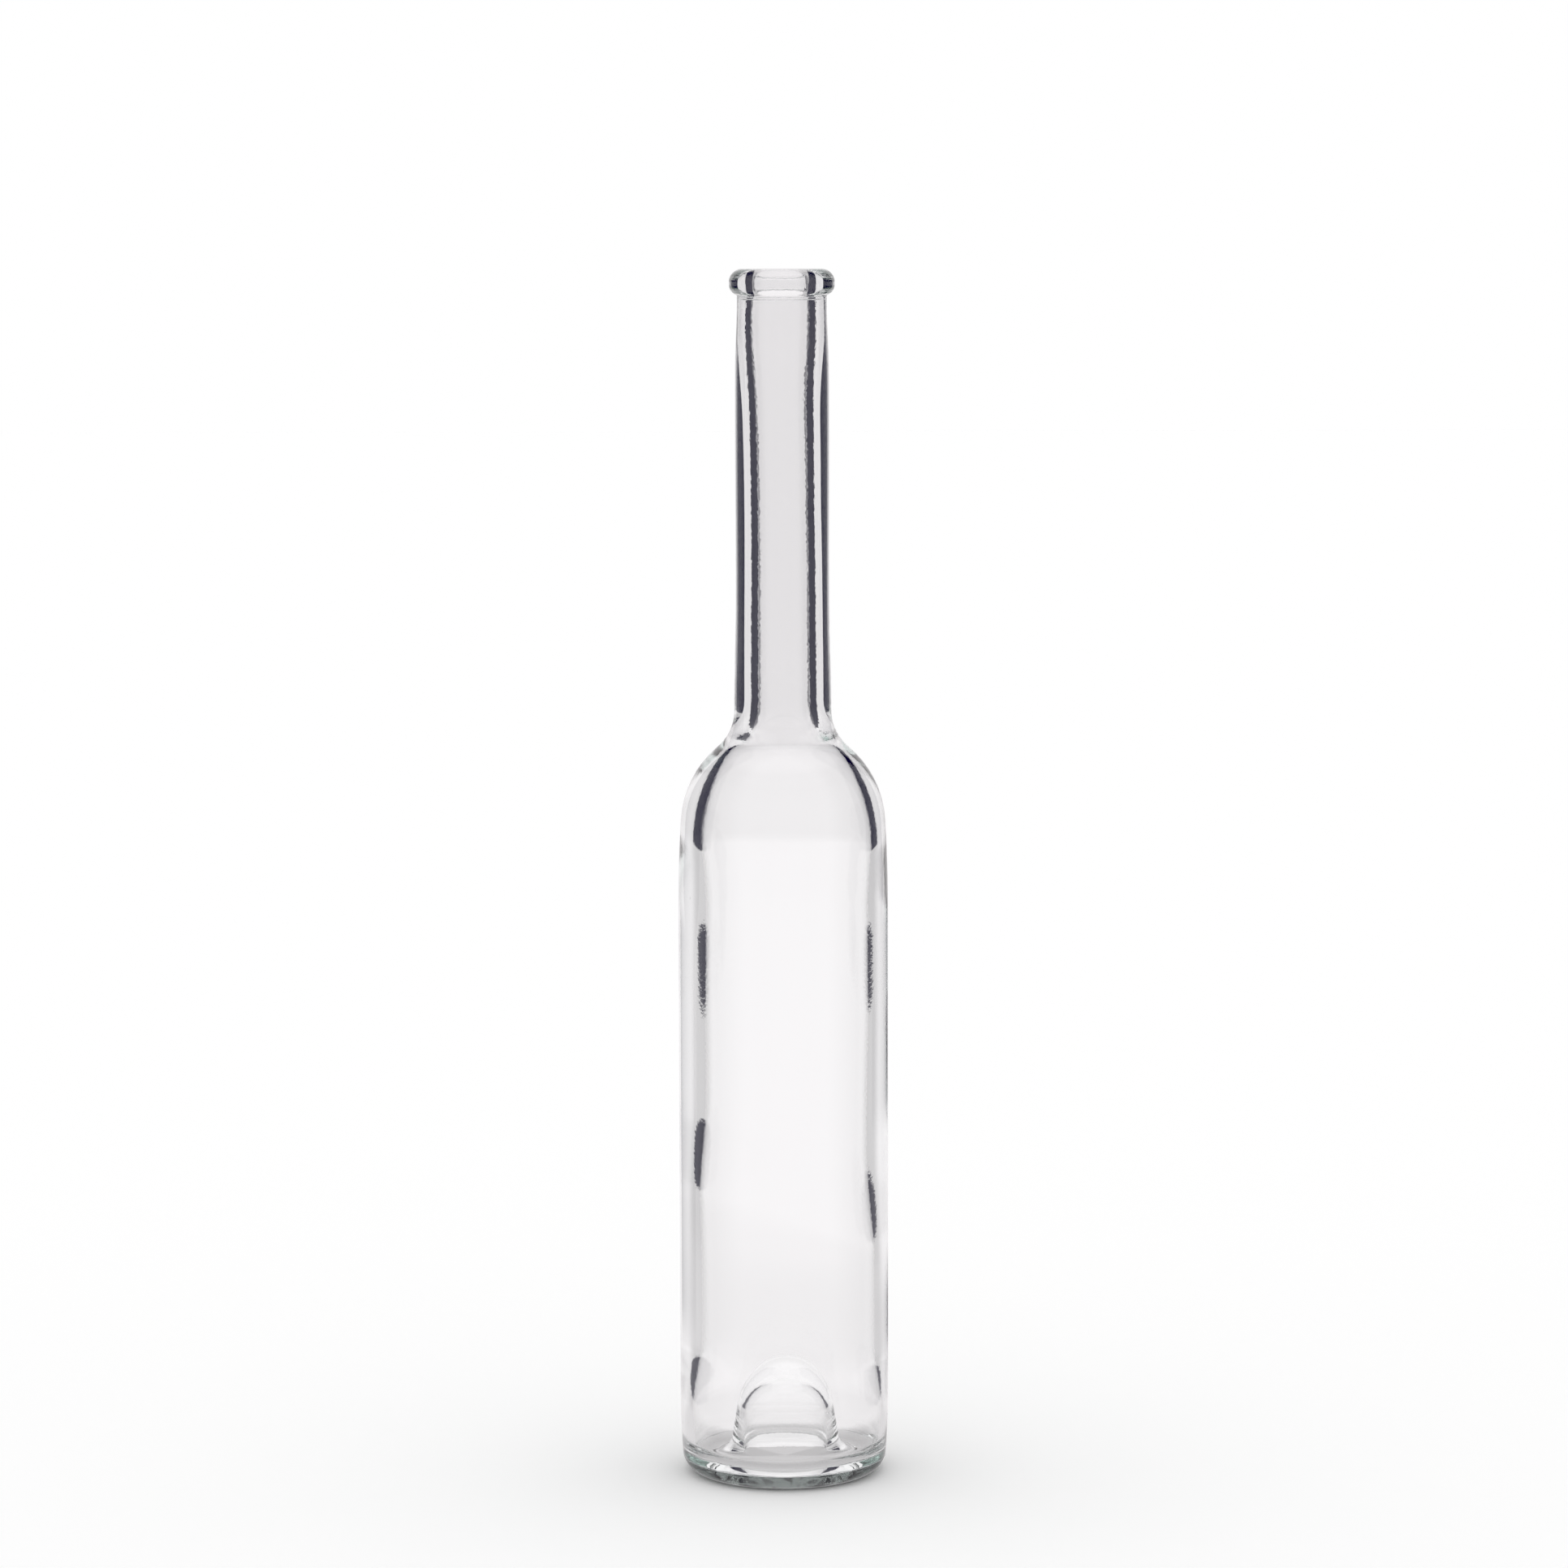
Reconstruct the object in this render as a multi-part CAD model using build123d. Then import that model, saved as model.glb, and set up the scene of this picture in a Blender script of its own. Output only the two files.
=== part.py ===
from build123d import *
import os
from math import acos, asin, atan2, cos, degrees, hypot, radians, sin, sqrt

# Slim bottle of clear glass with a long neck, a round bead at the mouth, round shoulders and a domed punt.
# The whole bottle is one moulded piece of glass: its section is drawn once and turned about the axis.
# Millimetres, +Z up. The origin is the middle of the ring that the bottle stands on.

# Overall sizes
bottle_height = 288.5
body_diameter = 50.0

# Foot: the flat ring that it stands on, the round heel, and the body's slight taper above the heel
ring_width = 1.2
heel_radius = 5.2
taper_depth = 0.5
taper_top_height = 20.0

# Shoulder: an ease out of the body, a round that is part of a sphere about the axis, the sweep into the neck
shoulder_base_height = 138.0
ease_radius = 320.0
ease_angle = 3.6
neck_sweep_radius = 11.6

# Bore: a true cylinder for the stopper, which draws in below it to the even bore of the neck
stopper_bore_diameter = 13.3
stopper_bore_length = 12.0
neck_bore_diameter = 12.9
neck_bore_depth = 28.0

# Neck, which draws in a little over the last stretch below the bead
neck_wall = 4.7
collar_draw_in = 0.5
collar_taper = 16.0

# Bead round the mouth: one round from the collar to the flat lip, which has a rounded inner edge
bead_overhang = 1.85
bead_radius = 3.25
mouth_edge_radius = 1.0

# Inside of the shoulder: a round, a cone and a sweep into the bore, with the slope in degrees from upright
inner_shoulder_rise = 22.0
inner_shoulder_radius = 10.0
inner_shoulder_slope = 50.0
inner_sweep_radius = 6.0

# Wall of the body, and the channel of floor between the wall and the punt
body_wall = 4.6
floor_thickness = 4.8
floor_corner_radius = 4.0
floor_width = 0.7

# Punt: a dome on a cone that rises from the floor, with a smaller dome on a cone hollowed out under it
punt_height = 26.9
punt_dome_radius = 11.2
punt_wall = 2.0
crown_thickness = 4.0

# Shallow recess within the ring, round the mouth of the hollow
recess_depth = 0.6
recess_ramp = 1.0

# Ends nearer than this are one point of the section
joint_tolerance = 0.0001

# Radii that follow from the sizes above
body_radius = body_diameter / 2
inner_radius = body_radius - body_wall
stopper_bore_radius = stopper_bore_diameter / 2
neck_bore_radius = neck_bore_diameter / 2
neck_radius = neck_bore_radius + neck_wall
collar_radius = neck_radius - collar_draw_in
punt_foot_radius = inner_radius - floor_corner_radius - floor_width


def at(radius, height):
    # A point or a step in the section, which lies in the XZ plane
    return Vector(radius, 0, height)


def heading(angle):
    # Unit step, with the angle in degrees: 0 is straight out from the axis and 90 is up
    return at(cos(radians(angle)), sin(radians(angle)))


def arc(center, radius, start_angle, end_angle):
    angles = (start_angle, (start_angle + end_angle) / 2, end_angle)
    return ThreePointArc(*(center + heading(angle) * radius for angle in angles))


def joined(stretches):
    # The stretches in order, with a straight line across each gap
    edges = [stretches[0]]
    for stretch in stretches[1:]:
        if (edges[-1] @ 1 - stretch @ 0).length > joint_tolerance:
            edges.append(Line(edges[-1] @ 1, stretch @ 0))
        edges.append(stretch)
    return edges


def heel():
    # Round heel that runs on into the long arc of the taper
    reach = taper_top_height - heel_radius
    taper_radius = (reach**2 + taper_depth**2) / (2 * taper_depth)
    taper_center = at(body_radius - taper_radius, taper_top_height)
    inset = sqrt((taper_radius - heel_radius) ** 2 - reach**2)
    lean = degrees(asin(reach / (taper_radius - heel_radius)))
    heel_arc = arc(taper_center + at(inset, -reach), heel_radius, -90, -lean)
    return [heel_arc, arc(taper_center, taper_radius, -lean, 0)]


def shoulder():
    # The round is part of a sphere about the axis. The slope is the angle at which it passes into the sweep.
    ease = arc(at(body_radius - ease_radius, shoulder_base_height), ease_radius, 0, ease_angle)
    sphere_radius = (ease @ 1).X / cos(radians(ease_angle))
    sphere_center = at(0, (ease @ 1).Z - sphere_radius * sin(radians(ease_angle)))
    span = sphere_radius + neck_sweep_radius
    slope = degrees(acos((neck_radius + neck_sweep_radius) / span))
    sweep_center = sphere_center + heading(slope) * span
    rounding = arc(sphere_center, sphere_radius, ease_angle, slope)
    return [ease, rounding, arc(sweep_center, neck_sweep_radius, 180 + slope, 180)]


def bead():
    # From where the underside of the round meets the collar, out and over to the lip
    center = at(collar_radius + bead_overhang - bead_radius, bottle_height - bead_radius)
    turn = degrees(acos((collar_radius - center.X) / bead_radius))
    return arc(center, bead_radius, -turn, 90)


def outside():
    # Heel to lip. The neck runs straight up from the shoulder, then draws in to the collar under the bead.
    rim = bead()
    collar = Line(at(neck_radius, (rim @ 0).Z - collar_taper), rim @ 0)
    return heel() + shoulder() + [collar, rim]


def bore():
    # Down from the rounded edge of the mouth to the even bore of the neck
    edge_center = at(stopper_bore_radius + mouth_edge_radius, bottle_height - mouth_edge_radius)
    edge = arc(edge_center, mouth_edge_radius, 90, 180)
    stopper_bore = Line(edge @ 1, edge @ 1 - at(0, stopper_bore_length))
    return [edge, stopper_bore, Line(stopper_bore @ 1, at(neck_bore_radius, bottle_height - neck_bore_depth))]


def inner_shoulder():
    # Worked out from the body up, and given from the neck down
    lean = heading(inner_shoulder_slope)
    round_center = at(inner_radius - inner_shoulder_radius, shoulder_base_height + inner_shoulder_rise)
    rounding = arc(round_center, inner_shoulder_radius, inner_shoulder_slope, 0)
    draw_in = (rounding @ 0).X - neck_bore_radius - inner_sweep_radius * (1 - lean.X)
    cone_top = rounding @ 0 + at(-draw_in, draw_in * lean.X / lean.Z)
    sweep = arc(cone_top + lean * inner_sweep_radius, inner_sweep_radius, 180, 180 + inner_shoulder_slope)
    return [sweep, rounding]


def floor_corner():
    corner_center = at(inner_radius - floor_corner_radius, floor_thickness + floor_corner_radius)
    return arc(corner_center, floor_corner_radius, 0, -90)


def dome_on_cone(apex_height, dome_radius, foot):
    # From the foot up the cone to where it touches the dome, then over the dome to the axis
    rise = apex_height - dome_radius - foot.Z
    slope = degrees(acos(dome_radius / hypot(foot.X, rise)) - atan2(rise, foot.X))
    dome = arc(at(0, apex_height - dome_radius), dome_radius, slope, 90)
    return [Line(foot, dome @ 0), dome]


def inside():
    # Mouth to floor, then up the punt to its crown on the axis
    punt = dome_on_cone(punt_height, punt_dome_radius, at(punt_foot_radius, floor_thickness))
    return bore() + inner_shoulder() + [floor_corner()] + punt


def underside(ring_outer_radius):
    # From the outer edge of the ring, in over the recess and up the hollow to the axis
    ring_inner_radius = ring_outer_radius - ring_width
    ring = Line(at(ring_outer_radius, 0), at(ring_inner_radius, 0))
    ramp = Line(ring @ 1, at(ring_inner_radius - recess_ramp, recess_depth))
    foot = at(punt_foot_radius - punt_wall, recess_depth)
    return [ring, ramp] + dome_on_cone(punt_height - crown_thickness, punt_dome_radius - punt_wall, foot)


def turned(edges):
    # Solid of one full turn of a closed section about the axis
    return revolve(make_face(edges), Axis.Z)


def bottle():
    wall = joined(outside() + inside())
    base = joined(underside((wall[0] @ 0).X))
    return turned(wall + base + [Line(wall[-1] @ 1, base[-1] @ 1)])


def cavity():
    # All that the bottle can hold, up to the brim
    wall = joined(inside())
    brim_center = at(0, bottle_height)
    return turned(wall + [Line(wall[-1] @ 1, brim_center), Line(brim_center, wall[0] @ 0)])


os.makedirs("parts", exist_ok=True)
glass_bottle = bottle()
print(f"glass {glass_bottle.volume / 1000:.1f} ml, brimful {cavity().volume / 1000:.1f} ml")
export_step(glass_bottle, "parts/glass_bottle.step")
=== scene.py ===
import bpy
import bmesh
import math
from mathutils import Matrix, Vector


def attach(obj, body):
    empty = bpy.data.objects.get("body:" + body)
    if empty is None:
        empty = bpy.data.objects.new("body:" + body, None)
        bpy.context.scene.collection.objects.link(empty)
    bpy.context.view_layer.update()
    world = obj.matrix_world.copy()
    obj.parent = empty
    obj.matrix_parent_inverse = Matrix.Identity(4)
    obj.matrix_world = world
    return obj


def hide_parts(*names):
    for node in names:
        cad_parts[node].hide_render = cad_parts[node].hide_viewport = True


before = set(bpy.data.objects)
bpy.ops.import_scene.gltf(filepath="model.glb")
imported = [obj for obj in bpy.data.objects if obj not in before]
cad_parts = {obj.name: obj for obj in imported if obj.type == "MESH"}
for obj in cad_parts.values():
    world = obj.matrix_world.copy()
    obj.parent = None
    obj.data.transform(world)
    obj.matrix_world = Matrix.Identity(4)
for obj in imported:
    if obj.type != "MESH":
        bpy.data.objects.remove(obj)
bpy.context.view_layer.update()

print("stage 1: the frame is loaded")

mm = 0.001
photoSide = 1932  # pixels
glassBounces = 40  # light crosses up to a dozen faces of glass
mirrorBounces = 24

scene = bpy.context.scene
scene.view_settings.view_transform = "Standard"
scene.cycles.max_bounces = glassBounces
scene.cycles.transmission_bounces = glassBounces
scene.cycles.glossy_bounces = mirrorBounces

# Section of the bottle, in millimetres and degrees

bottle = {
    "height": 288.5,
    "bodyRadius": 25.0,
    "ringWidth": 1.2,
    "heelRadius": 5.2,
    "taperDepth": 0.5,
    "taperTop": 20.0,
    "shoulderBase": 138.0,
    "easeRadius": 320.0,
    "easeAngle": 3.6,
    "neckSweepRadius": 11.6,
    "neckRootRadius": 11.55,
    "neckRadius": 11.1,
    "neckRootBlend": 24.0,
    "collarRadius": 10.6,
    "collarHeight": 1.0,
    "collarBlend": 18.0,
    "beadRadius": 12.5,
    "beadHeight": 6.3,
    "beadTopRadius": 3.1,
    "beadBottomRadius": 2.7,
    "beadRootRadius": 0.5,
    "mouthEdgeRadius": 1.0,
    "stopperBoreRadius": 6.65,
    "stopperBoreLength": 4.0,
    "mouthDrift": -0.25,  # a drift is how far to the right the inner skin is set over
    "neckKnots": (  # radius, height and drift of the bore, going down
        (6.85, 281.0, -0.26), (7.0, 277.0, -0.33), (6.95, 271.5, -0.32), (6.6, 266.5, -0.31),
        (6.33, 262.0, -0.28), (6.08, 256.0, -0.19), (6.0, 245.0, -0.03), (5.97, 233.0, 0.06),
        (6.05, 218.0, 0.16), (6.13, 202.5, 0.17), (6.17, 191.0, 0.20),
    ),
    "innerShoulderRadius": 34.0,
    "innerSweepRadius": 14.0,
    "bodyKnots": (  # reach of the inner skin to the left and to the right, and height, going down
        (19.72, 20.92, 152.5), (19.64, 20.84, 149.5), (19.42, 20.64, 146.0), (19.18, 20.40, 142.0),
        (19.00, 20.16, 138.5), (18.87, 20.02, 134.0), (18.89, 19.98, 123.0), (18.98, 20.04, 110.0),
        (18.93, 19.86, 97.0), (18.92, 19.78, 90.0), (19.02, 19.76, 86.5), (19.30, 19.78, 82.0),
        (19.64, 19.84, 77.0), (19.97, 20.08, 72.0), (20.10, 20.24, 69.5), (20.13, 20.50, 66.0),
        (20.14, 20.82, 62.0), (20.14, 21.24, 56.5), (20.13, 21.35, 53.0), (20.08, 21.40, 46.0),
        (20.12, 21.40, 32.0), (20.45, 21.50, 28.5), (20.98, 21.90, 25.0), (21.65, 22.55, 20.0),
        (22.0, 22.95, 16.0),
    ),
    "heelWall": 2.7,
    "heelDrift": 0.45,
    "floorThickness": 4.8,
    "floorCornerRadius": 4.5,
    "puntHeight": 28.6,
    "puntDomeRadius": 11.2,
    "puntSlope": 9.5,  # degrees from upright, as is the hollow's
    "puntFootRadius": 4.6,
    "crownThickness": 3.6,
    "hollowDomeRadius": 9.8,
    "hollowSlope": 4.0,
    "hollowEdgeRadius": 6.0,
    "recessDepth": 0.6,
    "recessRamp": 1.0,
    "mouldLines": (  # height, half width and how far out
        (3.9, 0.22, 0.07), (280.2, 0.2, 0.03), (281.6, 0.2, 0.04),
    ),
    "mouldProfile": (  # share of the half width, and share of how far out
        (-1, 0), (-0.5, 0.7), (0, 1), (0.5, 0.7), (1, 0),
    ),
    "arcStep": 6.0,  # degrees between points of an arc
    "lineStep": 2.5,  # between points of a long run
    "leastSteps": 3,  # of an arc
    "pointGap": 0.01,  # points nearer than this are one
    "weldGap": 0.002,  # corners of the mesh nearer than this are welded
}


def heading(angle):
    return Vector((math.cos(math.radians(angle)), math.sin(math.radians(angle))))


def arcRun(center, radius, startAngle, endAngle, long=False):
    # Points a few degrees apart, or a line step apart where the arc is long and flat
    span = abs(endAngle - startAngle)
    if long:
        count = round(math.radians(span) * radius / bottle["lineStep"])
    else:
        count = math.ceil(span / bottle["arcStep"])
    count = max(bottle["leastSteps"], count)
    turn = (endAngle - startAngle) / count
    return [Vector(center) + heading(startAngle + turn * i) * radius for i in range(count + 1)]


def lineRun(start, end):
    start, end = Vector(start), Vector(end)
    count = max(1, round((end - start).length / bottle["lineStep"]))
    return [start.lerp(end, i / count) for i in range(count + 1)]


def smoothRun(knots):
    # Cubic through the knots, upright at both ends. The height is the second number of each knot,
    # and the others all follow it.
    def slope(i, column):
        if i in (0, len(knots) - 1):
            return 0.0
        before, after = knots[i - 1], knots[i + 1]
        return (after[column] - before[column]) / (after[1] - before[1])

    def between(i, t, column):
        start, end = knots[i], knots[i + 1]
        rise = end[1] - start[1]
        if column == 1:
            return start[1] + rise * t
        blend = 3 * t**2 - 2 * t**3
        value = (1 - blend) * start[column] + blend * end[column]
        value += (t**3 - 2 * t**2 + t) * rise * slope(i, column)
        return value + (t**3 - t**2) * rise * slope(i + 1, column)

    run = []
    for i, (start, end) in enumerate(zip(knots, knots[1:])):
        count = max(2, round(abs(end[1] - start[1]) / bottle["lineStep"]))
        for j in range(count):
            run.append(tuple(between(i, j / count, column) for column in range(len(start))))
    return run + [tuple(knots[-1])]


def domeRun(apex, domeRadius, slope, flat, footRadius):
    # Rounded foot, cone and dome, from the flat up to the axis
    lean = heading(slope)
    dome = arcRun((0, apex - domeRadius), domeRadius, slope, 90)
    fall = dome[0].y + footRadius * lean.y - flat - footRadius
    footReach = dome[0].x + fall * lean.y / lean.x + footRadius * lean.x
    return arcRun((footReach, flat + footRadius), footRadius, 270, 180 + slope) + dome


def heelRun():
    # Round heel, which runs on into the long arc of the taper
    b = bottle
    reach = b["taperTop"] - b["heelRadius"]
    taperRadius = (reach**2 + b["taperDepth"] ** 2) / (2 * b["taperDepth"])
    taperCenter = Vector((b["bodyRadius"] - taperRadius, b["taperTop"]))
    inset = math.sqrt((taperRadius - b["heelRadius"]) ** 2 - reach**2)
    lean = math.degrees(math.asin(reach / (taperRadius - b["heelRadius"])))
    heel = arcRun(taperCenter + Vector((inset, -reach)), b["heelRadius"], -90, -lean)
    return heel + arcRun(taperCenter, taperRadius, -lean, 0, long=True)


def undersideRun(ringOuter):
    # From the axis down the hollow and over the recess to the inner edge of the ring
    b = bottle
    hollow = domeRun(b["puntHeight"] - b["crownThickness"], b["hollowDomeRadius"],
                     b["hollowSlope"], b["recessDepth"], b["hollowEdgeRadius"])
    ringInner = ringOuter - b["ringWidth"]
    rampTop = Vector((ringInner - b["recessRamp"], b["recessDepth"]))
    return hollow[::-1] + [rampTop, Vector((ringInner, 0))]


def shoulderRun():
    # Ease out of the body, a round that is part of a sphere about the axis, and the neck's sweep
    b = bottle
    easeCenter = (b["bodyRadius"] - b["easeRadius"], b["shoulderBase"])
    ease = arcRun(easeCenter, b["easeRadius"], 0, b["easeAngle"])
    sphereRadius = ease[-1].x / math.cos(math.radians(b["easeAngle"]))
    sphereCenter = ease[-1] - heading(b["easeAngle"]) * sphereRadius
    reach = b["neckRootRadius"] + b["neckSweepRadius"]
    slope = math.degrees(math.acos(reach / (sphereRadius + b["neckSweepRadius"])))
    rounding = arcRun(sphereCenter, sphereRadius, b["easeAngle"], slope)
    sweepCenter = rounding[-1] + heading(slope) * b["neckSweepRadius"]
    return ease + rounding + arcRun(sweepCenter, b["neckSweepRadius"], 180 + slope, 180)


def neckRun(root):
    # The neck narrows out of its root, and once more below the collar
    b = bottle
    collarBase = b["height"] - b["beadHeight"] - b["collarHeight"]
    return smoothRun([tuple(root), (b["neckRadius"], root.y + b["neckRootBlend"]),
                      (b["neckRadius"], collarBase - b["collarBlend"]),
                      (b["collarRadius"], collarBase)])


def beadRun():
    # Small root out of the collar, then the bead's lower and upper rounds
    b = bottle
    low = Vector((b["beadRadius"] - b["beadBottomRadius"],
                  b["height"] - b["beadHeight"] + b["beadBottomRadius"]))
    top = Vector((b["beadRadius"] - b["beadTopRadius"], b["height"] - b["beadTopRadius"]))
    reach = b["beadBottomRadius"] + b["beadRootRadius"]
    turn = math.degrees(math.acos((b["collarRadius"] + b["beadRootRadius"] - low.x) / reach))
    root = arcRun(low + heading(-turn) * reach, b["beadRootRadius"], 180, 180 - turn)
    lower = arcRun(low, b["beadBottomRadius"], -turn, 0)
    return root + lower + arcRun(top, b["beadTopRadius"], 0, 90)


def withMouldLines(run):
    # A fine rounded line stands out where the run climbs past the height of each mould line
    marked = [run[0]]
    for start, end in zip(run, run[1:]):
        crossings = []
        for height, halfWidth, reach in bottle["mouldLines"]:
            for step, share in bottle["mouldProfile"]:
                spot = height + step * halfWidth
                if start[1] < spot < end[1]:
                    crossings.append((spot, share * reach))
        for spot, reach in sorted(crossings):
            share = (spot - start[1]) / (end[1] - start[1])
            marked.append(Vector((start[0] + (end[0] - start[0]) * share + reach, spot)))
        marked.append(end)
    return marked


def outsideRun():
    # From the top of the hollow, round the foot and up the outside to the lip
    heel, shoulder = heelRun(), shoulderRun()
    body = lineRun(heel[-1], (bottle["bodyRadius"], bottle["shoulderBase"]))
    run = undersideRun(heel[0].x) + heel + body + shoulder
    return withMouldLines(run + neckRun(shoulder[-1]) + beadRun())


def boreRun():
    # Rounded edge of the mouth, and down the bore to its last knot
    b = bottle
    edgeCenter = (b["stopperBoreRadius"] + b["mouthEdgeRadius"],
                  b["height"] - b["mouthEdgeRadius"])
    edge = arcRun(edgeCenter, b["mouthEdgeRadius"], 90, 180)
    top = (b["stopperBoreRadius"], edge[-1].y - b["stopperBoreLength"], b["mouthDrift"])
    return [(*spot, b["mouthDrift"]) for spot in edge] + smoothRun([top, *b["neckKnots"]])


def innerShoulderRun(boreEnd, wallTop):
    # Rest of the bore, the sweep and the round, with the bore's drift passing into the wall's
    b = bottle
    boreRadius, boreHeight, boreDrift = boreEnd
    wallRadius, wallHeight, wallDrift = wallTop
    radii = b["innerShoulderRadius"] + b["innerSweepRadius"]
    slope = math.degrees(math.acos((radii - wallRadius + boreRadius) / radii))
    roundCenter = (wallRadius - b["innerShoulderRadius"], wallHeight)
    rounding = arcRun(roundCenter, b["innerShoulderRadius"], slope, 0)
    sweepCenter = rounding[0] + heading(slope) * b["innerSweepRadius"]
    sweep = arcRun(sweepCenter, b["innerSweepRadius"], 180, 180 + slope)
    run = [(*spot, boreDrift) for spot in lineRun((boreRadius, boreHeight), sweep[0])]
    for spot in sweep + rounding:
        share = (sweep[0].y - spot.y) / (sweep[0].y - rounding[-1].y)
        run.append((*spot, boreDrift + (wallDrift - boreDrift) * share))
    return run


def innerWallRun(knots):
    # Down the wall, round the corner of the floor, and over the punt to the axis
    b = bottle
    radius = b["floorCornerRadius"]
    corner = Vector((b["bodyRadius"] - b["heelWall"] - radius, b["floorThickness"] + radius))
    wall = smoothRun([*knots, (corner.x + radius, corner.y, b["heelDrift"])])
    bend = arcRun(corner, radius, 0, -90)
    last = len(bend) - 1
    punt = domeRun(b["puntHeight"], b["puntDomeRadius"], b["puntSlope"], b["floorThickness"],
                   b["puntFootRadius"])
    run = wall + [(*spot, b["heelDrift"] * (1 - i / last)) for i, spot in enumerate(bend)]
    return run + [(*spot, 0.0) for spot in punt]


def insideRun():
    # From the lip down the inside to the top of the punt
    knots = [((left + right) / 2, height, (right - left) / 2)
             for left, right, height in bottle["bodyKnots"]]
    return boreRun() + innerShoulderRun(bottle["neckKnots"][-1], knots[0]) + innerWallRun(knots)


def sectionObject():
    # A chain of points, each with its skin (0 outside and 1 inside) and its drift as attributes
    spots = [(radius, height, 0.0, 0.0) for radius, height in outsideRun()]
    spots += [(radius, height, 1.0, drift * mm) for radius, height, drift in insideRun()]
    chain = [spots[0]]
    for spot in spots[1:]:
        if math.dist(spot[:2], chain[-1][:2]) > bottle["pointGap"]:
            chain.append(spot)
    chain[0], chain[-1] = (0.0, *chain[0][1:]), (0.0, *chain[-1][1:])
    mesh = bpy.data.meshes.new("section")
    mesh.from_pydata([(spot[0] * mm, 0, spot[1] * mm) for spot in chain],
                     [(i, i + 1) for i in range(len(chain) - 1)], [])
    for column, name in enumerate(("skin", "drift"), start=2):
        values = [spot[column] for spot in chain]
        mesh.attributes.new(name, "FLOAT", "POINT").data.foreach_set("value", values)
    section = bpy.data.objects.new("section", mesh)
    scene.collection.objects.link(section)
    print("section points:", len(chain))
    return section


# Node helpers. An input is linked where its value is a socket, and set where it isn't.

def addNode(tree, kind, inputs=(), **settings):
    node = tree.nodes.new(kind)
    for name, setting in settings.items():
        setattr(node, name, setting)
    for key, value in inputs.items() if isinstance(inputs, dict) else enumerate(inputs):
        if isinstance(value, bpy.types.NodeSocket):
            tree.links.new(value, node.inputs[key])
        else:
            node.inputs[key].default_value = value
    return node


def mathNode(tree, operation, *values):
    return addNode(tree, "ShaderNodeMath", values, operation=operation).outputs[0]


def product(tree, first, *others):
    for value in others:
        first = mathNode(tree, "MULTIPLY", first, value)
    return first


def easedRange(tree, value, start, end, low=0.0, high=1.0):
    inputs = {"Value": value, "From Min": start, "From Max": end, "To Min": low, "To Max": high}
    return addNode(tree, "ShaderNodeMapRange", inputs,
                   interpolation_type="SMOOTHSTEP").outputs["Result"]


def mixColors(tree, factor, first, second):
    inputs = {"Factor": factor, "A": first, "B": second}
    return addNode(tree, "ShaderNodeMix", inputs, data_type="RGBA").outputs["Result"]


def axisDistance(tree, x, y):
    squares = mathNode(tree, "ADD", product(tree, x, x), product(tree, y, y))
    return mathNode(tree, "SQRT", squares)


# Geometry Nodes: the section turned about the axis, with its drift and a ripple in the inner skin

turning = {
    "Segments": 192,
    "Drift": 1.0,  # share of the drift that the section gives
    "Ripple depth": 0.05 * mm,
    "Ripple size": 14 * mm,
    "Ripple squeeze": 0.5,  # less than 1 draws the ripple out along the axis
    "Seed": 4.0,
}


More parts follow.
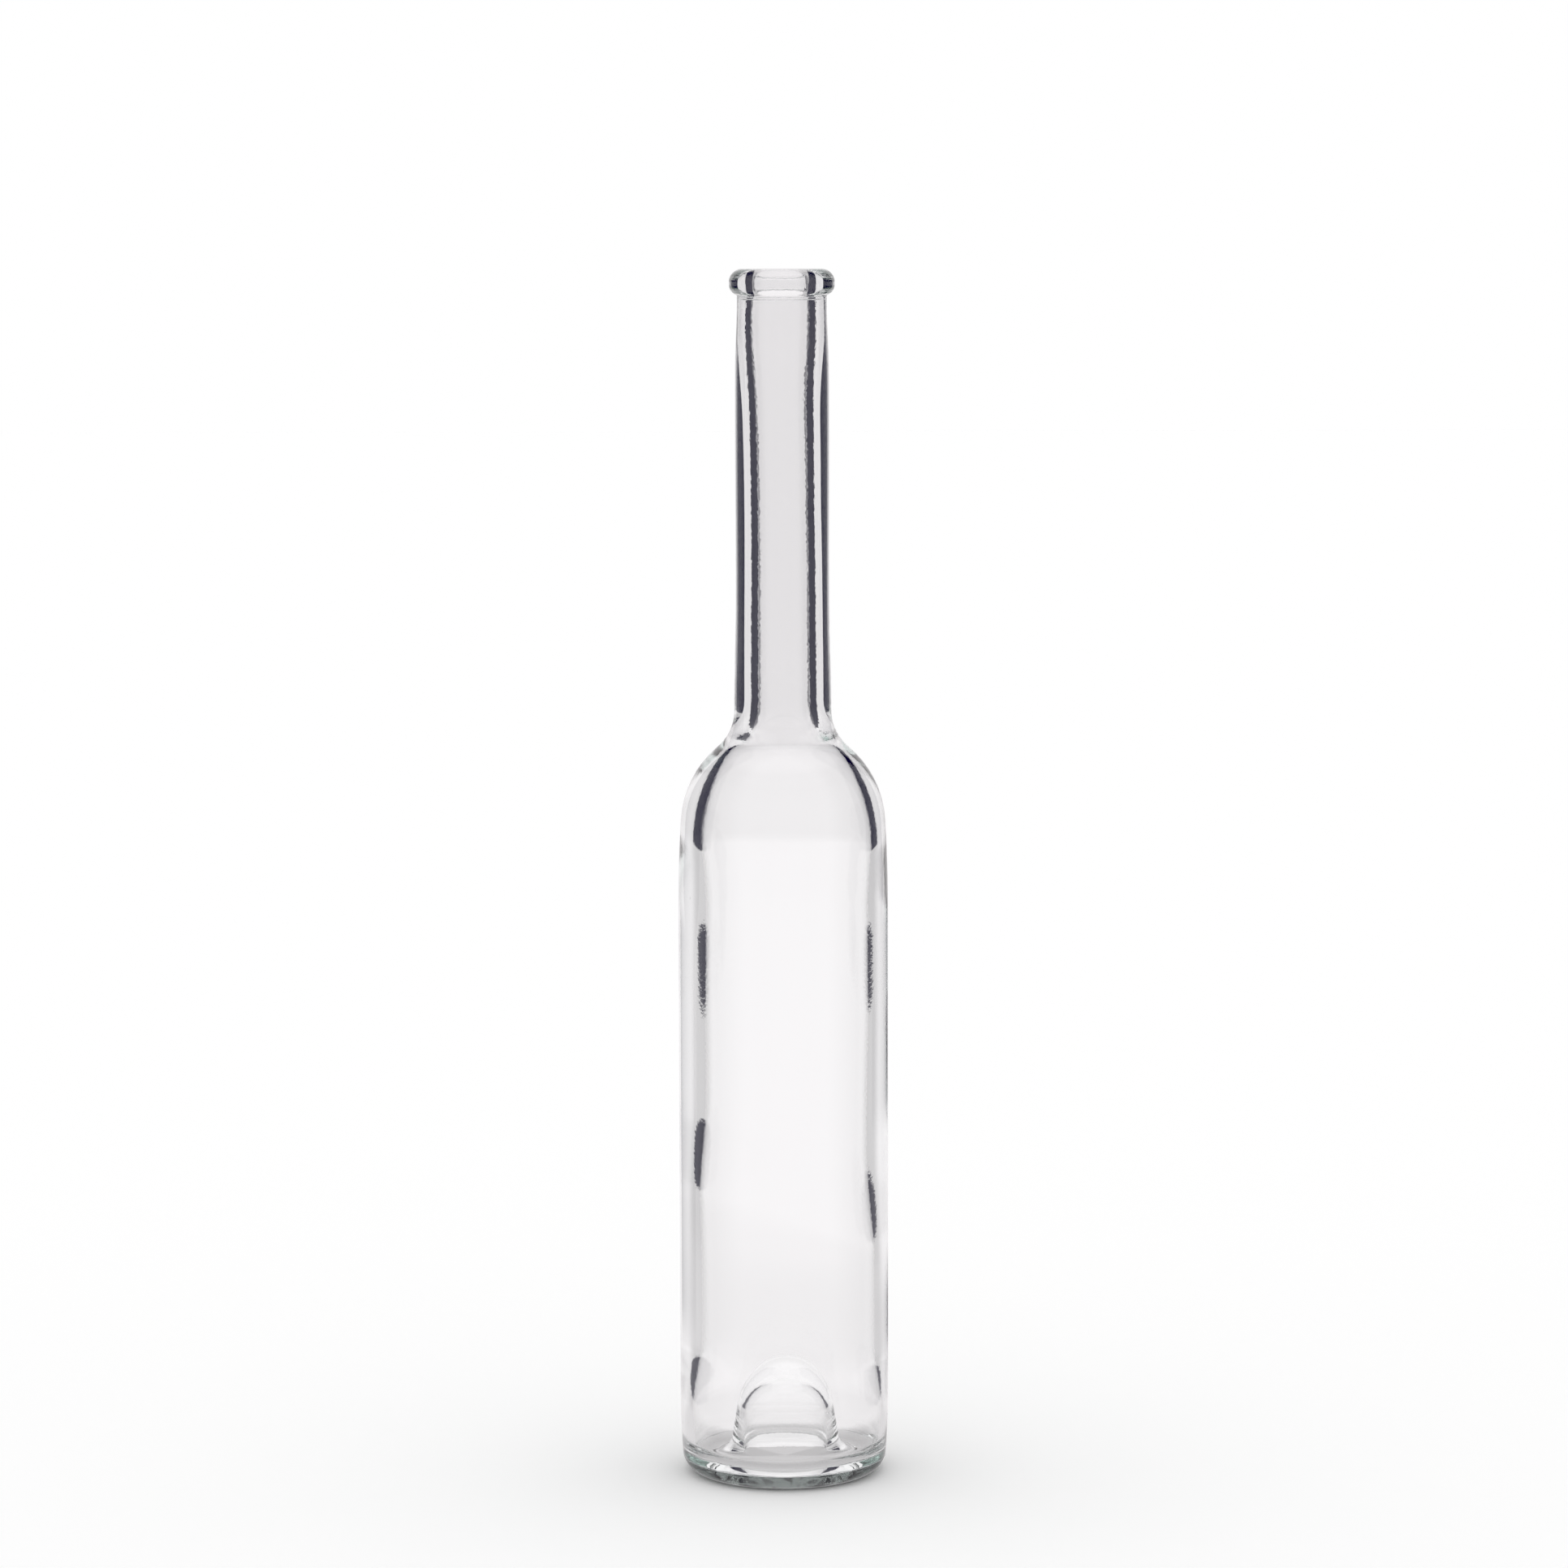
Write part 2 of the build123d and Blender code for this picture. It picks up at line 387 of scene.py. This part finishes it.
def turningTree(glass):
    tree = bpy.data.node_groups.new("turnedGlass", "GeometryNodeTree")
    tree.interface.new_socket("Geometry", in_out="INPUT", socket_type="NodeSocketGeometry")
    for name, value in turning.items():
        kind = "NodeSocketInt" if isinstance(value, int) else "NodeSocketFloat"
        socket = tree.interface.new_socket(name, in_out="INPUT", socket_type=kind)
        socket.default_value = value
    tree.interface.new_socket("Geometry", in_out="OUTPUT", socket_type="NodeSocketGeometry")
    given = tree.nodes.new("NodeGroupInput").outputs

    def calc(operation, *values):
        return mathNode(tree, operation, *values)

    def joinXYZ(*values):
        return addNode(tree, "ShaderNodeCombineXYZ", values).outputs[0]

    def sample(kind, value):
        inputs = {"Geometry": given["Geometry"], "Value": value, "Index": row}
        return addNode(tree, "GeometryNodeSampleIndex", inputs, data_type=kind).outputs[0]

    def sampleNamed(name):
        named = addNode(tree, "GeometryNodeInputNamedAttribute", {"Name": name})
        return sample("FLOAT", named.outputs[0])

    # One column of the grid for each turned copy of the section, and one row for each of its points
    size = addNode(tree, "GeometryNodeAttributeDomainSize", [given["Geometry"]])
    count = size.outputs["Point Count"]
    counts = {"Vertices X": calc("ADD", given["Segments"], 1), "Vertices Y": count}
    grid = addNode(tree, "GeometryNodeMeshGrid", counts)
    index = tree.nodes.new("GeometryNodeInputIndex").outputs[0]
    row = calc("FLOORED_MODULO", index, count)
    middle = calc("ADD", index, 0.5)  # half an index keeps the floor clear of rounding
    column = calc("FLOOR", calc("DIVIDE", middle, count))
    angle = calc("MULTIPLY", calc("DIVIDE", column, given["Segments"]), 2 * math.pi)
    east, north = calc("COSINE", angle), calc("SINE", angle)

    position = tree.nodes.new("GeometryNodeInputPosition").outputs[0]
    spot = addNode(tree, "ShaderNodeSeparateXYZ", [sample("FLOAT_VECTOR", position)]).outputs
    radius, height = spot[0], spot[2]
    skin = sampleNamed("skin")
    squeezed = calc("MULTIPLY", height, given["Ripple squeeze"])
    around = joinXYZ(calc("MULTIPLY", east, radius), calc("MULTIPLY", north, radius), squeezed)
    scale = calc("DIVIDE", 1.0, given["Ripple size"])
    inputs = {"Vector": around, "W": given["Seed"], "Scale": scale, "Detail": 0.0}
    noise = addNode(tree, "ShaderNodeTexNoise", inputs, noise_dimensions="4D")
    fromMiddle = calc("SUBTRACT", noise.outputs[0], 0.5)
    ripple = product(tree, fromMiddle, given["Ripple depth"], skin)
    offAxis = calc("GREATER_THAN", radius, bottle["pointGap"] * mm)
    reach = calc("MULTIPLY", calc("ADD", radius, ripple), offAxis)
    shift = calc("MULTIPLY", sampleNamed("drift"), given["Drift"])
    x = calc("ADD", calc("MULTIPLY", reach, east), shift)
    y = calc("MULTIPLY", reach, north)

    places = {"Geometry": grid.outputs["Mesh"], "Position": joinXYZ(x, y, height)}
    placed = addNode(tree, "GeometryNodeSetPosition", places)
    inputs = {"Geometry": placed.outputs[0], "Name": "skin", "Value": skin}
    kept = addNode(tree, "GeometryNodeStoreNamedAttribute", inputs,
                   data_type="FLOAT", domain="POINT")
    inputs = {"Geometry": kept.outputs[0], "Distance": bottle["weldGap"] * mm}
    welded = addNode(tree, "GeometryNodeMergeByDistance", inputs)
    smooth = addNode(tree, "GeometryNodeSetShadeSmooth", {"Geometry": welded.outputs[0]})
    real = addNode(tree, "GeometryNodeRealizeInstances", {"Geometry": smooth.outputs[0]})
    inputs = {"Geometry": real.outputs[0], "Material": glass}
    dressed = addNode(tree, "GeometryNodeSetMaterial", inputs)
    addNode(tree, "NodeGroupOutput", [dressed.outputs[0]])
    return tree


def turnedBottle(glass):
    section = sectionObject()
    modifier = section.modifiers.new("turn", "NODES")
    modifier.node_group = turningTree(glass)
    for item in modifier.node_group.interface.items_tree:
        if item.in_out == "INPUT" and item.name in turning:
            modifier[item.identifier] = turning[item.name]
    evaluated = section.evaluated_get(bpy.context.evaluated_depsgraph_get())
    mesh = bpy.data.meshes.new_from_object(evaluated)
    section.modifiers.clear()
    bpy.data.objects.remove(section)
    shape = bmesh.new()
    shape.from_mesh(mesh)
    bmesh.ops.remove_doubles(shape, verts=shape.verts, dist=bottle["weldGap"] * mm)
    bmesh.ops.recalc_face_normals(shape, faces=shape.faces)
    openEdges = sum(1 for edge in shape.edges if len(edge.link_faces) != 2)
    print("open edges:", openEdges, "volume ml:", shape.calc_volume() * 1e6)
    shape.to_mesh(mesh)
    shape.free()
    mesh.name = "bottleGlass"
    piece = bpy.data.objects.new("bottleGlass", mesh)
    scene.collection.objects.link(piece)
    print("glass faces:", len(mesh.polygons))
    return piece


# Clear glass, with painted shade over its foot

clearGlass = {
    "tint": (1.0, 1.0, 1.0, 1.0),
    "neckTint": (0.947, 0.944, 0.947, 1.0),  # a greyer tint for the glass above the shoulder
    "neckHeights": (166 * mm, 173 * mm),  # over which the body's tint passes into it
    "footPaintedShade": (0.05, 0.062, 0.058, 1.0),  # painted shade over the knurled ring and lowest part of the heel, for the shaded table under the bottle
    "footHeight": 3.9 * mm,
    "footHeightBlur": 0.1 * mm,
    "footInner": 17.6 * mm,  # distance from the axis at which it starts
    "footInnerBlur": 0.3 * mm,
    "footInside": 0.15,  # share of the foot's painted shade that light inside the glass meets
    # painted shade: darker patches within the foot's painted shade
    "patchPaintedShade": (0.016, 0.018, 0.018, 1.0),
    "patchSize": 3.8 * mm,
    "patchDetail": 2.0,
    "patchRange": (0.54, 0.60),  # of the noise, from no patch to full patch
    "seedSpacing": 14 * mm,  # small bubbles in the glass
    "seedRadius": 0.022,  # as a share of the spacing
    "seedDepth": 0.03 * mm,
    "rippleSize": 0.9 * mm,
    "rippleDetail": 1.0,
    "outerRipple": 0.0015 * mm,
    "innerRipples": (0.005 * mm, 0.036 * mm),  # body and neck
    "rippleHeights": (170 * mm, 195 * mm),  # over which the first passes into the second
    "ior": 1.52,
    "absorption": (0.80, 0.90, 0.87, 1.0),
    "density": 6.0,  # per metre
}


def footShadeMask(tree, x, y, z, skin):
    # Where the foot's painted shade goes, standing in for the shaded table under the bottle: the
    # outer skin beside the table, from the ring outwards
    c = clearGlass
    height, heightBlur = c["footHeight"], c["footHeightBlur"]
    inner, innerBlur = c["footInner"], c["footInnerBlur"]
    low = easedRange(tree, z, height - heightBlur, height + heightBlur, 1.0, 0.0)
    wide = easedRange(tree, axisDistance(tree, x, y), inner - innerBlur, inner + innerBlur)
    outer = mathNode(tree, "SUBTRACT", 1.0, skin)
    leaving = tree.nodes.new("ShaderNodeNewGeometry").outputs["Backfacing"]
    met = mathNode(tree, "MULTIPLY_ADD", leaving, c["footInside"] - 1, 1.0)
    return product(tree, low, wide, outer, met)


# The glass's clear tint, greyer above the shoulder, with painted shade over the foot
def glassTintAndShade(tree, place, skin):
    c = clearGlass
    x, y, z = addNode(tree, "ShaderNodeSeparateXYZ", [place]).outputs
    inputs = {"Vector": place, "Scale": 1 / c["patchSize"], "Detail": c["patchDetail"]}
    noise = addNode(tree, "ShaderNodeTexNoise", inputs).outputs[0]
    patches = easedRange(tree, noise, *c["patchRange"])
    # painted shade over the foot, darker in patches
    foot = mixColors(tree, patches, c["footPaintedShade"], c["patchPaintedShade"])
    clear = mixColors(tree, easedRange(tree, z, *c["neckHeights"]), c["tint"], c["neckTint"])
    return mixColors(tree, footShadeMask(tree, x, y, z, skin), clear, foot)


def glassNormal(tree, place, skin):
    # A fine ripple on both skins, deepest inside the neck, and the small bubbles
    c = clearGlass
    z = addNode(tree, "ShaderNodeSeparateXYZ", [place]).outputs[2]
    inputs = {"Vector": place, "Scale": 1 / c["rippleSize"], "Detail": c["rippleDetail"]}
    ripple = addNode(tree, "ShaderNodeTexNoise", inputs).outputs[0]
    inner = easedRange(tree, z, *c["rippleHeights"], *c["innerRipples"])
    depth = mathNode(tree, "MULTIPLY_ADD", inner, skin, c["outerRipple"])
    inputs = {"Vector": place, "Scale": 1 / c["seedSpacing"]}
    toSeed = addNode(tree, "ShaderNodeTexVoronoi", inputs).outputs["Distance"]
    seed = easedRange(tree, toSeed, 0.0, c["seedRadius"], c["seedDepth"], 0.0)
    height = mathNode(tree, "MULTIPLY_ADD", ripple, depth, seed)
    return addNode(tree, "ShaderNodeBump", {"Height": height, "Distance": 1.0}).outputs[0]


def glassMaterial():
    material = bpy.data.materials.new("clearGlass")
    material.use_nodes = True
    tree = material.node_tree
    place = tree.nodes.new("ShaderNodeTexCoord").outputs["Object"]
    skin = addNode(tree, "ShaderNodeAttribute", attribute_name="skin").outputs["Fac"]
    surface = tree.nodes["Principled BSDF"]
    tree.links.new(glassTintAndShade(tree, place, skin), surface.inputs["Base Color"])
    tree.links.new(glassNormal(tree, place, skin), surface.inputs["Normal"])
    surface.inputs["Metallic"].default_value = 0.0
    surface.inputs["Roughness"].default_value = 0.0
    surface.inputs["IOR"].default_value = clearGlass["ior"]
    surface.inputs["Transmission Weight"].default_value = 1.0
    inputs = {"Color": clearGlass["absorption"], "Density": clearGlass["density"]}
    absorb = addNode(tree, "ShaderNodeVolumeAbsorption", inputs).outputs[0]
    tree.links.new(absorb, tree.nodes["Material Output"].inputs["Volume"])
    return material


bottleGlass = turnedBottle(glassMaterial())
print("stage 2: the bottle is turned")

# Studio: a white table under even light. The glass sees the table and the room a little greyer
# away from the bright middle, and the dark walls that give it its dark bands.

studio = {
    "floorSize": 12.0,  # metres, as are the other lengths here
    "white": (1.0, 1.0, 1.0, 1.0),
    "tableLevels": (  # distance from the axis, and brightness in the glass
        (0.014, 0.58), (0.022, 0.52), (0.034, 0.875), (0.18, 0.875), (0.30, 0.915),
        (0.44, 0.957), (0.88, 0.957), (1.25, 0.89), (1.7, 0.865),
    ),
    "roomLevels": (0.865, 0.985),  # brightness in the glass at the horizon and higher up
    "roomRise": (0.06, 0.35),  # over which it rises, as sines of the angle above level
    "tint": (1.0, 0.978, 0.99, 1.0),
    "sideDim": 0.34,  # how much greyer the table and the room are to the left and right
    "sideAngles": (26, 46, 90, 120),  # degrees from the view: from, fully by, until and gone by
    "sideReach": (0.10, 0.40, 0.55),  # on the table nearer than the first, only the last share
    "wallColor": (0.001, 0.0, 0.022, 1.0),
    "wallFeather": 0.08,  # share of the wall over which each upright edge fades
    "wallFade": 0.015,  # over which its foot and its top fade
    "wallSteps": 16,
    # Angles are degrees from the view to the left. The span is from foot to top. The bows are how
    # far the foot rises and the top falls towards the upright edges. A mirrored wall is seen only
    # where the glass reflects.
    "walls": (
        {"angles": (37, 78), "distance": 0.62, "span": (0.02, 1.5), "bows": (0.05, 0.15),
         "dark": 1.0, "mirrored": False},
        {"angles": (-78, -36), "distance": 0.62, "span": (0.02, 1.5), "bows": (0.05, 0.15),
         "dark": 1.0, "mirrored": False},
        {"angles": (30, 75), "distance": 0.15, "span": (0.0, 0.125), "bows": (0, 0),
         "dark": 0.9, "mirrored": True},
        {"angles": (-70, -14), "distance": 0.46, "span": (0.0, 0.085), "bows": (0, 0),
         "dark": 0.9, "mirrored": True},
        {"angles": (-75, -14), "distance": 0.10, "span": (0.0, 0.035), "bows": (0, 0),
         "dark": 0.6, "mirrored": True},
    ),
}


def newGroup(name, inputs, output):
    # A shader node group of numbers, with the outputs of its Group Input
    group = bpy.data.node_groups.new(name, "ShaderNodeTree")
    for label in inputs:
        group.interface.new_socket(label, in_out="INPUT", socket_type="NodeSocketFloat")
    group.interface.new_socket(output, in_out="OUTPUT", socket_type="NodeSocketFloat")
    return group, group.nodes.new("NodeGroupInput").outputs


def sideShadeGroup():
    # 0 ahead and behind, rising to the dimming at the left and right
    names = ("X", "Y", "Dimming", "From", "Fully by", "Until", "Gone by")
    group, given = newGroup("sideShade", names, "Shade")
    aside = mathNode(group, "ABSOLUTE", given["X"])
    angle = mathNode(group, "ARCTAN2", aside, given["Y"])
    rise = easedRange(group, angle, given["From"], given["Fully by"], 0.0, given["Dimming"])
    fall = easedRange(group, angle, given["Until"], given["Gone by"], 1.0, 0.0)
    addNode(group, "NodeGroupOutput", [product(group, rise, fall)])
    return group


def wallCoverGroup():
    # 1 over the middle of a wall, fading at all its edges
    names = ("Along", "Up", "Feather", "Fade", "Foot bow", "Top bow", "Dark")
    group, given = newGroup("wallCover", names, "Cover")
    along, up = given["Along"], given["Up"]
    farEdge = mathNode(group, "SUBTRACT", 1.0, given["Feather"])
    near = easedRange(group, along, 0.0, given["Feather"])
    far = easedRange(group, along, farEdge, 1.0, 1.0, 0.0)
    fromMiddle = mathNode(group, "MULTIPLY_ADD", along, 2.0, -1.0)
    bow = product(group, fromMiddle, fromMiddle)
    fromFoot = mathNode(group, "SUBTRACT", up, product(group, bow, given["Foot bow"]))
    foot = easedRange(group, fromFoot, 0.0, given["Fade"])
    toTop = mathNode(group, "MULTIPLY_ADD", bow, given["Top bow"], up)
    topEdge = mathNode(group, "SUBTRACT", 1.0, given["Fade"])
    top = easedRange(group, toTop, topEdge, 1.0, 1.0, 0.0)
    addNode(group, "NodeGroupOutput", [product(group, near, far, foot, top, given["Dark"])])
    return group


sideShade = sideShadeGroup()
wallCover = wallCoverGroup()


def placedShade(tree, x, y):
    # The side shade, placed in a material or the world with the studio's values
    angles = [math.radians(angle) for angle in studio["sideAngles"]]
    values = [x, y, studio["sideDim"], *angles]
    return addNode(tree, "ShaderNodeGroup", values, node_tree=sideShade).outputs[0]


def seenInGlass(tree):
    path = tree.nodes.new("ShaderNodeLightPath").outputs
    return mathNode(tree, "MAXIMUM", path["Is Transmission Ray"], path["Is Glossy Ray"])


def mixShaders(tree, factor, first, second):
    mix = addNode(tree, "ShaderNodeMixShader", [factor, first, second])
    tree.links.new(mix.outputs[0], tree.nodes["Material Output"].inputs["Surface"])


def tableLevel(tree, x, y):
    # Brightness of the table in the glass, from the axis outwards
    reach = axisDistance(tree, x, y)
    levels = studio["tableLevels"]
    level = levels[0][1]
    for (start, low), (end, high) in zip(levels, levels[1:]):
        if low != high:
            level = mathNode(tree, "ADD", level,
                             easedRange(tree, reach, start, end, 0.0, high - low))
    near, far, nearShare = studio["sideReach"]
    share = easedRange(tree, reach, near, far, nearShare, 1.0)
    left = mathNode(tree, "SUBTRACT", 1.0, product(tree, placedShade(tree, x, y), share))
    return product(tree, level, left)


def floorPiece():
    side = studio["floorSize"] / 2
    mesh = bpy.data.meshes.new("floor")
    corners = [(-side, -side, 0), (side, -side, 0), (side, side, 0), (-side, side, 0)]
    mesh.from_pydata(corners, [], [(0, 1, 2, 3)])
    floor = bpy.data.objects.new("floor", mesh)
    scene.collection.objects.link(floor)
    material = bpy.data.materials.new("whiteTable")
    material.use_nodes = True
    tree = material.node_tree
    surface = tree.nodes["Principled BSDF"]
    surface.inputs["Base Color"].default_value = studio["white"]
    surface.inputs["Roughness"].default_value = 1.0
    surface.inputs["Specular IOR Level"].default_value = 0.0
    place = tree.nodes.new("ShaderNodeTexCoord").outputs["Object"]
    x, y = addNode(tree, "ShaderNodeSeparateXYZ", [place]).outputs[:2]
    inputs = {"Color": studio["tint"], "Strength": tableLevel(tree, x, y)}
    glow = addNode(tree, "ShaderNodeEmission", inputs)
    mixShaders(tree, seenInGlass(tree), surface.outputs[0], glow.outputs[0])
    mesh.materials.append(material)


def wallMaterial(wall):
    material = bpy.data.materials.new("darkWall")
    material.use_nodes = True
    tree = material.node_tree
    tree.nodes.remove(tree.nodes["Principled BSDF"])
    place = tree.nodes.new("ShaderNodeUVMap").outputs[0]
    along, up = addNode(tree, "ShaderNodeSeparateXYZ", [place]).outputs[:2]
    height = wall["span"][1] - wall["span"][0]
    bows = [bow / height for bow in wall["bows"]]
    values = [along, up, studio["wallFeather"], studio["wallFade"] / height, *bows, wall["dark"]]
    cover = addNode(tree, "ShaderNodeGroup", values, node_tree=wallCover)
    clear = tree.nodes.new("ShaderNodeBsdfTransparent")
    dark = addNode(tree, "ShaderNodeEmission", {"Color": studio["wallColor"]})
    mixShaders(tree, cover.outputs[0], clear.outputs[0], dark.outputs[0])
    return material


def wallPiece(name, wall):
    # An upright card bent round the axis. Its UV map runs from right to left and from foot to top.
    steps = studio["wallSteps"]
    (startAngle, endAngle), (foot, top) = wall["angles"], wall["span"]
    corners, places = [], []
    for i in range(steps + 1):
        angle = math.radians(startAngle + (endAngle - startAngle) * i / steps)
        x, y = -math.sin(angle) * wall["distance"], math.cos(angle) * wall["distance"]
        corners += [(x, y, foot), (x, y, top)]
        places += [(i / steps, 0), (i / steps, 1)]
    faces = [(2 * i, 2 * i + 2, 2 * i + 3, 2 * i + 1) for i in range(steps)]
    mesh = bpy.data.meshes.new(name)
    mesh.from_pydata(corners, [], faces)
    uv = mesh.uv_layers.new(name="UVMap")
    for loop in mesh.loops:
        uv.data[loop.index].uv = places[loop.vertex_index]
    mesh.materials.append(wallMaterial(wall))
    card = bpy.data.objects.new(name, mesh)
    scene.collection.objects.link(card)
    card.visible_camera = card.visible_diffuse = card.visible_shadow = False
    card.visible_transmission = not wall["mirrored"]


def worldLight():
    # White for the camera and as light on the table. What the glass sees is the room.
    world = bpy.data.worlds.new("studio")
    scene.world = world
    world.use_nodes = True
    tree = world.node_tree
    place = tree.nodes.new("ShaderNodeTexCoord").outputs["Generated"]
    x, y, z = addNode(tree, "ShaderNodeSeparateXYZ", [place]).outputs
    level = easedRange(tree, z, *studio["roomRise"], *studio["roomLevels"])
    left = mathNode(tree, "SUBTRACT", 1.0, placedShade(tree, x, y))
    inGlass = seenInGlass(tree)
    white = mathNode(tree, "SUBTRACT", 1.0, inGlass)
    strength = mathNode(tree, "ADD", white, product(tree, level, left, inGlass))
    color = mixColors(tree, inGlass, studio["white"], studio["tint"])
    background = tree.nodes["Background"]
    tree.links.new(color, background.inputs["Color"])
    tree.links.new(strength, background.inputs["Strength"])


floorPiece()
for number, wall in enumerate(studio["walls"]):
    wallPiece(f"wall{number}", wall)
worldLight()
print("stage 3: the studio is set")

# Camera: the photograph was taken from just above the height of the rim

view = {
    "distance": 1.211,  # metres from the axis
    "height": 0.3008,
    "tilt": 6.331,  # degrees below level
    "roll": 0.13,
    "pan": -0.0263,
    "focalPixels": 6305,  # focal length in pixels of the photograph
    "sensorWidth": 36,
}

cameraData = bpy.data.cameras.new("camera")
cameraData.sensor_width = view["sensorWidth"]
cameraData.lens = view["focalPixels"] / photoSide * view["sensorWidth"]
camera = bpy.data.objects.new("camera", cameraData)
scene.collection.objects.link(camera)
camera.location = (0, -view["distance"], view["height"])
turns = (90 - view["tilt"], view["roll"], view["pan"])
camera.rotation_euler = [math.radians(turn) for turn in turns]
scene.camera = camera
print("stage 4: the camera is placed")

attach(bottleGlass, "root")
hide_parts("glass_bottle")
